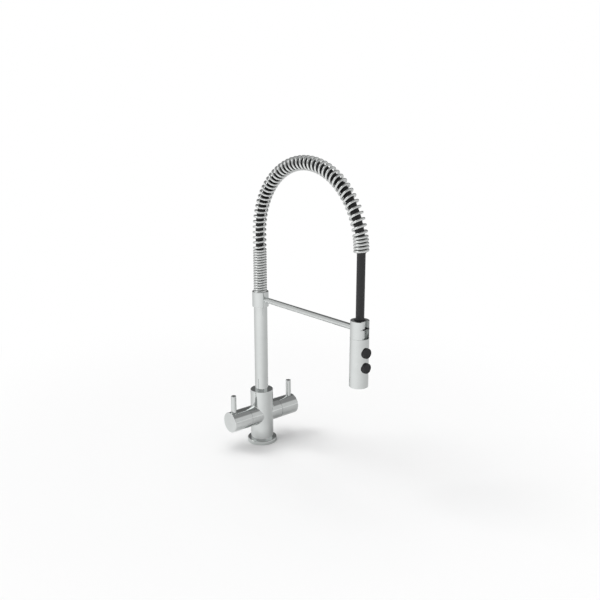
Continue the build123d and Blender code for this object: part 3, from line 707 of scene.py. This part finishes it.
@dataclass
class ArchSpring:
    """The spring round the hose: close wound at both ends and open over the arch. Millimetres."""

    arch: Arch
    wire_radius: float = 1.82
    coil_radius: float = 9.3
    seat: float = 9.93
    tight_rise: float = 70.1
    tight_pitch: float = 4.21
    open_pitch: float = 8.42
    end_length: float = 23.0
    end_pitch: float = 4.45
    short: float = 0.6
    first_turn: float = 0.19
    steps_per_turn: int = 36
    wire_sides: int = 16

    def sizes(self) -> dict[str, tuple[str, float]]:
        """The tree's inputs by name, each with its socket type and its value in metres or turns."""
        foot_turns = (self.seat + self.tight_rise) / self.tight_pitch
        open_length = self.arch.whole - self.short - self.tight_rise - self.end_length
        open_turns = open_length / self.open_pitch
        turns = foot_turns + open_turns + self.end_length / self.end_pitch
        lengths = {
            "Wire radius": self.wire_radius,
            "Coil radius": self.coil_radius,
            "Arch radius": self.arch.radius,
            "Arch height": self.arch.top,
            "Rise": self.arch.rise,
            "Start": -self.seat,
            "Foot pitch": self.tight_pitch,
            "Open pitch": self.open_pitch,
            "End pitch": self.end_pitch,
        }
        return {name: ("Float", length * MM) for name, length in lengths.items()} | {
            "Foot turns": ("Float", foot_turns),
            "Open turns": ("Float", open_turns),
            "First turn": ("Float", self.first_turn),
            "All turns": ("Float", turns),
            "Stations": ("Int", round(turns * self.steps_per_turn) + 1),
            "Wire sides": ("Int", self.wire_sides),
        }

    def tree(self) -> Tree:
        """Builds the coil: points in a line, moved onto the arch by number, then swept with the wire."""
        kinds = {name: kind for name, (kind, _) in self.sizes().items()}
        tree, given = geometry_tree("arch_coil", kinds | {"Finish": "Material"})

        def calc(operation: str, *values: Any) -> Socket:
            """One step of arithmetic on sockets or numbers."""
            return add_node(tree, "ShaderNodeMath", dict(enumerate(values)), operation=operation).outputs[0]

        last = calc("SUBTRACT", given["Stations"], 1.0)
        number = add_node(tree, "GeometryNodeInputIndex").outputs["Index"]
        turn = calc("MULTIPLY", calc("DIVIDE", number, last), given["All turns"])
        foot = calc("MULTIPLY", calc("MINIMUM", turn, given["Foot turns"]), given["Foot pitch"])
        past_foot = calc("MAXIMUM", calc("SUBTRACT", turn, given["Foot turns"]), 0.0)
        over = calc("MULTIPLY", calc("MINIMUM", past_foot, given["Open turns"]), given["Open pitch"])
        past_open = calc("MAXIMUM", calc("SUBTRACT", past_foot, given["Open turns"]), 0.0)
        end = calc("MULTIPLY", past_open, given["End pitch"])
        length = calc("ADD", given["Start"], calc("ADD", foot, calc("ADD", over, end)))
        past_rise = calc("SUBTRACT", length, given["Rise"])
        angle = calc(
            "MINIMUM", calc("MAXIMUM", calc("DIVIDE", past_rise, given["Arch radius"]), 0.0), math.pi
        )
        rest = calc("SUBTRACT", past_rise, calc("MULTIPLY", angle, given["Arch radius"]))
        cosine, sine = calc("COSINE", angle), calc("SINE", angle)
        spin = calc("MULTIPLY", calc("ADD", turn, given["First turn"]), 2 * math.pi)
        aside = calc("MULTIPLY", given["Coil radius"], calc("COSINE", spin))
        outward = calc(
            "ADD", calc("MULTIPLY", given["Coil radius"], calc("SINE", spin)), given["Arch radius"]
        )
        y = calc(
            "SUBTRACT",
            calc("SUBTRACT", calc("MULTIPLY", outward, cosine), given["Arch radius"]),
            calc("MULTIPLY", rest, sine),
        )
        z = calc(
            "ADD",
            calc("ADD", calc("MULTIPLY", outward, sine), given["Arch height"]),
            calc("MULTIPLY", rest, cosine),
        )
        place = add_node(tree, "ShaderNodeCombineXYZ", {"X": aside, "Y": y, "Z": z}).outputs["Vector"]
        line = add_node(tree, "GeometryNodeMeshLine", {"Count": given["Stations"]})
        moved = add_node(
            tree, "GeometryNodeSetPosition", {"Geometry": line.outputs["Mesh"], "Position": place}
        )
        route = add_node(tree, "GeometryNodeMeshToCurve", {"Mesh": moved.outputs["Geometry"]})
        section = add_node(
            tree,
            "GeometryNodeCurvePrimitiveCircle",
            {"Resolution": given["Wire sides"], "Radius": given["Wire radius"]},
        )
        wire = add_node(
            tree,
            "GeometryNodeCurveToMesh",
            {"Curve": route.outputs["Curve"], "Profile Curve": section.outputs["Curve"], "Fill Caps": True},
        )
        smooth = add_node(tree, "GeometryNodeSetShadeSmooth", {"Geometry": wire.outputs["Mesh"]})
        real = add_node(tree, "GeometryNodeRealizeInstances", {"Geometry": smooth.outputs["Geometry"]})
        dressed = add_node(
            tree,
            "GeometryNodeSetMaterial",
            {"Geometry": real.outputs["Geometry"], "Material": given["Finish"]},
        )
        add_node(tree, "NodeGroupOutput", {"Geometry": dressed.outputs["Geometry"]})
        return tree

    def build(self) -> list[Piece]:
        """Makes the spring as one wire."""
        spring = new_object("arch_spring_wire", bpy.data.meshes.new("arch_spring_wire"))
        values = {name: value for name, (_, value) in self.sizes().items()}
        run_tree(spring, self.tree(), values | {"Finish": SPRING.material()})
        dress(spring, "spring_chrome")
        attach(spring, Body.SPOUT.value)
        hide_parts("arch_spring")
        return [spring]


# ------------------------------------------------------------------ pieces taken from the solids
@dataclass
class PolishedPieces:
    """The plated pieces and rubber parts that take their form from the solids."""

    frame: Frame
    plated: dict[str, Body] = field(
        default_factory=lambda: {
            "mixer_body": Body.BASE,
            "base_ring": Body.BASE,
            "column_tube": Body.SPOUT,
            "collar": Body.SPOUT,
            "arm_rod": Body.SPOUT,
            "spray_holder": Body.SPOUT,
            "head_shell": Body.HEAD,
            "head_neck": Body.HEAD,
            "left_handle_barrel": Body.LEFT_HANDLE,
            "left_lever_pin": Body.LEFT_HANDLE,
            "right_handle_barrel": Body.RIGHT_HANDLE,
            "right_lever_pin": Body.RIGHT_HANDLE,
        }
    )
    rubber: dict[str, Body] = field(
        default_factory=lambda: {
            "base_seal": Body.BASE,
            "spigot_seals": Body.SPOUT,
            "spring_end_bush": Body.SPOUT,
            "neck_bush": Body.HEAD,
            "nozzle_plate": Body.HEAD,
            "left_cartridge_seal": Body.BASE,
            "right_cartridge_seal": Body.BASE,
            "left_spindle_seal": Body.LEFT_HANDLE,
            "right_spindle_seal": Body.RIGHT_HANDLE,
        }
    )
    round_mm: dict[str, float] = field(default_factory=lambda: {"base_ring": 0.5})
    rubber_round_mm: float = 0.1
    # Outer radius, and height of the face in the joint, of the two pieces that meet in it.
    seam_mm: dict[str, tuple[float, float]] = field(
        default_factory=lambda: {"spray_holder": (13.6, 238.6), "head_shell": (13.8, 238.45)}
    )
    seam_height_mm: float = 0.3
    seam_depth_mm: float = 0.45
    # Just past the holder's bore and half its slot.
    bore_mm: float = 9.2
    slot_half_mm: float = 6.6

    def build(self) -> list[Piece]:
        """Makes them all."""
        made = {
            node: self.frame.refine(node, body, self.round_mm.get(node))
            for node, body in self.plated.items()
        }
        self.leave_satin_with_shade(made["spray_holder"])
        for node, (radius, level) in self.seam_mm.items():
            self.square_seam(made[node], radius, level)
        return list(made.values()) + [
            self.frame.refine(node, body, self.rubber_round_mm) for node, body in self.rubber.items()
        ]

    def square_seam(self, piece: Piece, radius_mm: float, level_mm: float) -> None:
        """Fills out the fine round where holder and head meet, so that the joint closes to a hairline.

        Args:
            piece: the holder or the head.
            radius_mm: its outer radius.
            level_mm: the height of its face in the joint.
        """
        for corner in piece.data.vertices:
            x, y, z = corner.co.x / MM, corner.co.y / MM + REACH, corner.co.z / MM
            out = math.hypot(x, y)
            if abs(z - level_mm) < self.seam_height_mm and radius_mm - self.seam_depth_mm < out < radius_mm:
                corner.co.x = x / out * radius_mm * MM
                corner.co.y = (y / out * radius_mm - REACH) * MM

    def leave_satin_with_shade(self, holder: Piece) -> None:
        """Leaves the holder's bore and the cut faces of its slot satin, where no polishing wheel reaches,
        and darker, as painted shade.

        Args:
            holder: the dressed holder.
        """
        # The satin finish is darker than the plate: painted shade inside the bore and on the slot's cut
        # faces.
        holder.data.materials.append(SATIN_WITH_SHADE.material())
        for face in holder.data.polygons:
            x, y = face.center.x / MM, face.center.y / MM + REACH
            out = math.hypot(x, y)
            inwards = face.normal.x * x + face.normal.y * y < -0.5 * out
            sideways = abs(face.normal.x) > 0.9
            if (inwards and out < self.bore_mm) or (sideways and y < 0 and abs(x) < self.slot_half_mm):
                face.material_index = 1


@dataclass
class NeckSealAndShadeStrips:
    """The black ring round the spray head's neck, and black strips on the cut faces of the holder's slot,
    which are painted shade beside the ring. Millimetres.
    """

    level: float = 251.55
    half_height: float = 1.1
    inner: float = 7.9
    outer: float = 8.85
    edge: float = 0.2
    strip_level: float = 252.5
    strip_half: float = 0.8
    strip_from: float = 6.42
    strip_to: float = 8.3
    strip_near: float = 6.9
    strip_far: float = 11.2

    def build(self) -> list[Piece]:
        """Makes the ring, which rides on the head, and the painted-shade strips, which ride on the spout."""
        corners = [
            (self.inner, -self.half_height, self.edge),
            (self.outer, -self.half_height, self.edge),
            (self.outer, self.half_height, self.edge),
            (self.inner, self.half_height, self.edge),
        ]
        ring = turned("neck_seal_ring", softened(corners), (0, -REACH, self.level), (0, 0, 1))
        dress(ring, "black_rubber")
        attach(ring, Body.HEAD.value)
        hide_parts("neck_seal")
        # Black boxes on the slot's cut faces, level with the ring: painted shade.
        form = bmesh.new()
        for side in Side:
            low = (side.value * self.strip_from, -REACH - self.strip_far, self.strip_level - self.strip_half)
            high = (side.value * self.strip_to, -REACH - self.strip_near, self.strip_level + self.strip_half)
            for corner in bmesh.ops.create_cube(form, size=1.0)["verts"]:
                share = corner.co + Vector((0.5, 0.5, 0.5))
                corner.co = Vector([(a + (b - a) * t) * MM for a, b, t in zip(low, high, share)])
        bmesh.ops.recalc_face_normals(form, faces=form.faces)
        strips = formed("holder_slot_shade_strips", form, smooth=False)
        strips.data.shade_smooth()
        edges = strips.modifiers.new("edges", "BEVEL")
        edges.width = self.edge * MM
        edges.segments = 2
        bake(strips)
        strips.data.set_sharp_from_angle(angle=SHARP)
        dress(strips, "black_rubber")
        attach(strips, Body.SPOUT.value)
        return [ring, strips]


@dataclass
class ButtonCap:
    """A soft push button: a rounded cap with a dished face and raised dots to find it by. Millimetres."""

    node: str
    body: Body
    middle: float
    dots: int
    radius: float = 7.4
    back: float = 7.8
    face: float = 17.0
    lip: float = 0.8
    lip_thickness: float = 1.0
    wall: float = 1.8
    front_wall: float = 2.5
    dish: float = 0.7
    rim: float = 1.3
    dot_radius: float = 0.62
    dot_ring: float = 2.9
    dot_squash: float = 0.7

    def tree(self) -> Tree:
        """Builds the dots: one in the middle and the rest in a ring, as flattened beads."""
        kinds = {
            "Dots": "Int",
            "Ring radius": "Float",
            "Dot radius": "Float",
            "Middle": "Vector",
            "Finish": "Material",
        }
        tree, given = geometry_tree(f"{self.node}_dots", kinds)
        ring = add_node(
            tree, "GeometryNodeMeshCircle", {"Vertices": given["Dots"], "Radius": given["Ring radius"]}
        )
        centre = add_node(tree, "GeometryNodeMeshLine", {"Count": 1})
        spots = add_node(tree, "GeometryNodeJoinGeometry")
        tree.links.new(ring.outputs["Mesh"], spots.inputs[0])
        tree.links.new(centre.outputs["Mesh"], spots.inputs[0])
        bead = add_node(
            tree, "GeometryNodeMeshUVSphere", {"Segments": 16, "Rings": 8, "Radius": given["Dot radius"]}
        )
        beads = add_node(
            tree,
            "GeometryNodeInstanceOnPoints",
            {
                "Points": spots.outputs["Geometry"],
                "Instance": bead.outputs["Mesh"],
                "Scale": (1.0, 1.0, self.dot_squash),
            },
        )
        real = add_node(tree, "GeometryNodeRealizeInstances", {"Geometry": beads.outputs["Instances"]})
        placed = add_node(
            tree,
            "GeometryNodeTransform",
            {
                "Geometry": real.outputs["Geometry"],
                "Translation": given["Middle"],
                "Rotation": (math.pi / 2, 0.0, 0.0),
            },
        )
        smooth = add_node(tree, "GeometryNodeSetShadeSmooth", {"Geometry": placed.outputs["Geometry"]})
        both = add_node(tree, "GeometryNodeJoinGeometry")
        tree.links.new(given["Geometry"], both.inputs[0])
        tree.links.new(smooth.outputs["Geometry"], both.inputs[0])
        dressed = add_node(
            tree,
            "GeometryNodeSetMaterial",
            {"Geometry": both.outputs["Geometry"], "Material": given["Finish"]},
        )
        add_node(tree, "NodeGroupOutput", {"Geometry": dressed.outputs["Geometry"]})
        return tree

    def build(self) -> list[Piece]:
        """Makes the cap with its dots."""
        inner = self.radius - self.wall
        floor = self.radius - self.rim
        outline: list[Corner] = [
            (0.0, self.face - self.front_wall, 0.0),
            (inner, self.face - self.front_wall, 0.3),
            (inner, self.back, 0.2),
            (self.radius + self.lip, self.back, 0.2),
            (self.radius + self.lip, self.back + self.lip_thickness, 0.2),
            (self.radius, self.back + self.lip_thickness, 0.2),
            (self.radius, self.face, 0.6),
            (floor, self.face, 0.35),
            (floor - 0.3, self.face - self.dish * 0.8, 0.1),
            (floor * 0.5, self.face - self.dish, 0.0),
            (0.0, self.face - self.dish, 0.0),
        ]
        cap = turned(
            f"{self.node}_moulding",
            softened(outline, closed=False),
            (0, -REACH, self.middle),
            (0, -1, 0),
            closed=False,
        )
        values = {
            "Dots": self.dots,
            "Ring radius": self.dot_ring * MM,
            "Dot radius": self.dot_radius * MM,
            "Middle": (0.0, -(REACH + self.face - self.dish) * MM, self.middle * MM),
            "Finish": BUTTON.material(),
        }
        run_tree(cap, self.tree(), values)
        dress(cap, "button_rubber")
        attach(cap, self.body.value)
        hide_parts(self.node)
        return [cap]


@dataclass
class ReturnSprings:
    """The two small springs behind the buttons. Millimetres."""

    frame: Frame
    outer_end: float = 14.45
    length: float = 9.6
    travel: float = 2.0

    def build(self) -> list[Piece]:
        """Makes both, each riding on its button."""
        made = []
        for body in (Body.UPPER_BUTTON, Body.LOWER_BUTTON):
            spring = self.frame.refine(f"{body.value}_spring", body, 0.0)
            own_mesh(spring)
            made.append(spring)
        return made


# ------------------------------------------------------------------ studio
@dataclass
class Studio:
    """Pale floor, soft light, and a plain room for the plate to mirror. Metres and degrees."""

    floor_size: float = 60.0
    floor_colour: str = "F1F1F1"
    shadow_reach: tuple[float, float] = (0.25, 0.8)
    sky: float = 0.38
    overhead: float = 1.5
    overhead_from: Point = (-0.04, 0.06, 1.0)
    overhead_degrees: float = 56.0
    side: float = 1.05
    side_from: Point = (-0.42, 0.54, 0.76)
    side_degrees: float = 26.0
    # The mirrored room's tone is middle + slope x + curve x squared, x being the nearness to bright_from.
    bright_from: Point = (-0.985, -0.174, 0.0)
    room_middle: float = 0.74
    room_slope: float = 0.20
    room_curve: float = 0.08
    canopy_radius: float = 6.0
    horizon: float = 0.03
    wall: float = 0.68
    # Patches of the canopy: middle, degrees within which it is full and past which it is gone, strength.
    patches: tuple[tuple[Point, float, float, float], ...] = (
        ((-0.80, -0.60, 0.30), 40.0, 56.0, 0.45),
        ((0.18, 0.06, 1.0), 40.0, 52.0, 0.30),
        ((0.646, 0.763, 0.47), 24.0, 34.0, 0.15),
        ((0.98, 0.16, 0.26), 14.0, 24.0, 0.18),
        ((-0.82, 0.57, 1.0), 13.5, 19.0, 1.9),
    )

    def build(self) -> None:
        """Sets floor, lights, world and mirrored surroundings."""
        self.floor()
        self.lamp("overhead_light", self.overhead, self.overhead_from, self.overhead_degrees)
        self.lamp("side_light", self.side, self.side_from, self.side_degrees)
        self.world()
        self.canopy()

    def room_tone(self, tree: Tree) -> Socket:
        """How light the room is by direction across the floor: lightest to the left, greyer to the right.

        Args:
            tree: the tree to build it in.

        Returns:
            The socket of the share of full light.
        """
        place = add_node(tree, "ShaderNodeTexCoord").outputs["Object"]
        flat = add_node(
            tree, "ShaderNodeVectorMath", {0: place, 1: (1.0, 1.0, 0.0)}, operation="MULTIPLY"
        ).outputs["Vector"]
        way = add_node(tree, "ShaderNodeVectorMath", {0: flat}, operation="NORMALIZE").outputs["Vector"]
        near = add_node(
            tree, "ShaderNodeVectorMath", {0: way, 1: self.bright_from}, operation="DOT_PRODUCT"
        ).outputs["Value"]
        tone: Any = self.room_curve
        for term in (self.room_slope, self.room_middle):
            tone = add_node(
                tree, "ShaderNodeMath", {0: tone, 1: near, 2: term}, operation="MULTIPLY_ADD"
            ).outputs[0]
        return tone

    def floor(self) -> None:
        """A pale matt floor that keeps the tap's shadow and runs out to plain white."""
        half = self.floor_size / 2
        mesh = bpy.data.meshes.new("floor")
        mesh.from_pydata(
            [(-half, -half, 0), (half, -half, 0), (half, half, 0), (-half, half, 0)], [], [(0, 1, 2, 3)]
        )
        floor = new_object("floor", mesh)
        matt = bpy.data.materials.new("matt_white_floor")
        tree = cleared(matt)
        mirrored = add_node(tree, "ShaderNodeLightPath").outputs["Is Glossy Ray"]
        tone = add_node(
            tree,
            "ShaderNodeMix",
            {"Factor": mirrored, "A": 1.0, "B": self.room_tone(tree)},
            data_type="FLOAT",
        ).outputs[0]
        white = add_node(
            tree,
            "ShaderNodeVectorMath",
            {0: linear(self.floor_colour)[:3], "Scale": tone},
            operation="SCALE",
        )
        paint = add_node(tree, "ShaderNodeBsdfDiffuse", {"Color": white.outputs["Vector"]})
        glow = add_node(tree, "ShaderNodeEmission", {"Strength": tone})
        place = add_node(tree, "ShaderNodeTexCoord").outputs["Object"]
        distance = add_node(tree, "ShaderNodeVectorMath", {0: place}, operation="LENGTH").outputs["Value"]
        far = add_node(
            tree,
            "ShaderNodeMapRange",
            {"Value": distance, "From Min": self.shadow_reach[0], "From Max": self.shadow_reach[1]},
            interpolation_type="SMOOTHSTEP",
        )
        both = add_node(
            tree,
            "ShaderNodeMixShader",
            {0: far.outputs["Result"], 1: paint.outputs["BSDF"], 2: glow.outputs["Emission"]},
        )
        add_node(tree, "ShaderNodeOutputMaterial", {"Surface": both.outputs["Shader"]})
        mesh.materials.append(matt)

    def lamp(self, name: str, strength: float, source: Point, degrees: float) -> None:
        """Adds one wide soft light that the plate does not mirror.

        Args:
            name: the lamp's name.
            strength: its strength.
            source: the direction that it shines from.
            degrees: how wide it looks.
        """
        lamp = bpy.data.lights.new(name, "SUN")
        lamp.energy = strength
        lamp.angle = math.radians(degrees)
        thing = bpy.data.objects.new(name, lamp)
        thing.rotation_euler = Vector(source).to_track_quat("Z", "Y").to_euler()
        thing.visible_glossy = False
        bpy.context.scene.collection.objects.link(thing)

    def world(self) -> None:
        """An even sky: white where it is seen or mirrored, plain ambient light elsewhere."""
        world = bpy.data.worlds.new("studio")
        bpy.context.scene.world = world
        tree = cleared(world)
        path = add_node(tree, "ShaderNodeLightPath").outputs
        seen = path["Is Camera Ray"]
        for kind in ("Is Glossy Ray", "Is Transmission Ray"):
            seen = add_node(tree, "ShaderNodeMath", {0: seen, 1: path[kind]}, operation="MAXIMUM").outputs[0]
        strength = add_node(tree, "ShaderNodeMapRange", {"Value": seen, "To Min": self.sky, "To Max": 1.0})
        glow = add_node(
            tree, "ShaderNodeBackground", {"Color": (1, 1, 1, 1), "Strength": strength.outputs["Result"]}
        )
        add_node(tree, "ShaderNodeOutputWorld", {"Surface": glow.outputs["Background"]})

    def canopy(self) -> None:
        """The mirrored room above the horizon: light walls with dimmer patches, and one bright light box."""
        form = bmesh.new()
        bmesh.ops.create_uvsphere(form, u_segments=64, v_segments=48, radius=self.canopy_radius)
        low = [v for v in form.verts if v.co.z < self.horizon]
        bmesh.ops.delete(form, geom=low, context="VERTS")
        canopy = formed("canopy", form, smooth=False)
        paint = bpy.data.materials.new("studio_walls")
        tree = cleared(paint)
        place = add_node(tree, "ShaderNodeTexCoord").outputs["Object"]
        way = add_node(tree, "ShaderNodeVectorMath", {0: place}, operation="NORMALIZE").outputs["Vector"]
        light: float | Socket = self.wall
        for direction, full, none, strength in self.patches:
            unit = Vector(direction).normalized()
            near = add_node(
                tree, "ShaderNodeVectorMath", {0: way, 1: unit}, operation="DOT_PRODUCT"
            ).outputs["Value"]
            share = add_node(
                tree,
                "ShaderNodeMapRange",
                {
                    "Value": near,
                    "From Min": math.cos(math.radians(none)),
                    "From Max": math.cos(math.radians(full)),
                },
                interpolation_type="SMOOTHSTEP",
            ).outputs["Result"]
            light = add_node(
                tree, "ShaderNodeMix", {"Factor": share, "A": light, "B": strength}, data_type="FLOAT"
            ).outputs[0]
        glow = add_node(tree, "ShaderNodeEmission", {"Color": (1, 1, 1, 1), "Strength": light})
        add_node(tree, "ShaderNodeOutputMaterial", {"Surface": glow.outputs["Emission"]})
        canopy.data.materials.append(paint)
        for kind in ("camera", "diffuse", "shadow", "transmission", "volume_scatter"):
            setattr(canopy, f"visible_{kind}", False)


@dataclass
class Viewpoint:
    """Where the photograph was taken from. Metres and degrees."""

    place: Point = (-0.71686, -0.94642, 0.55577)
    down: float = 14.573
    turn: float = -40.27
    focal_px: float = 747.33
    frame_px: int = 600

    def build(self) -> None:
        """Makes the camera the scene's own."""
        lens = bpy.data.cameras.new("camera")
        lens.sensor_width = 36.0
        lens.lens = self.focal_px * lens.sensor_width / self.frame_px
        lens.clip_end = 200.0
        camera = bpy.data.objects.new("camera", lens)
        camera.location = self.place
        camera.rotation_euler = (math.radians(90 - self.down), 0.0, math.radians(self.turn))
        bpy.context.scene.collection.objects.link(camera)
        bpy.context.scene.camera = camera


# ------------------------------------------------------------------ putting it together
def main() -> None:
    """Loads the solids, builds and dresses every piece, and sets the studio and camera."""
    logging.basicConfig(level=logging.INFO, format="%(name)s: %(message)s")
    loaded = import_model()
    frame = Frame(
        loaded["nodes"], {part["node"]: part["material_slot"] for part in loaded["record"]["subparts"]}
    )
    bpy.context.scene.view_settings.view_transform = "Standard"
    Viewpoint().build()
    Studio().build()
    arch = Arch()
    makers: list[tuple[str, Callable[[], list[Piece]]]] = [
        ("polished pieces", PolishedPieces(frame).build),
        ("hose", HoseLine(arch).build),
        ("spring", ArchSpring(arch).build),
        ("return springs", ReturnSprings(frame).build),
        ("neck seal and shade strips", NeckSealAndShadeStrips().build),
        ("upper button", ButtonCap("upper_button_cap", Body.UPPER_BUTTON, middle=218.35, dots=6).build),
        ("lower button", ButtonCap("lower_button_cap", Body.LOWER_BUTTON, middle=196.15, dots=3).build),
    ]
    for what, build in makers:
        for piece in build():
            LOG.info("%s: %s, %d faces", what, piece.name, len(piece.data.polygons))
    frame.dress_rest()


if __name__ == "__main__":
    main()
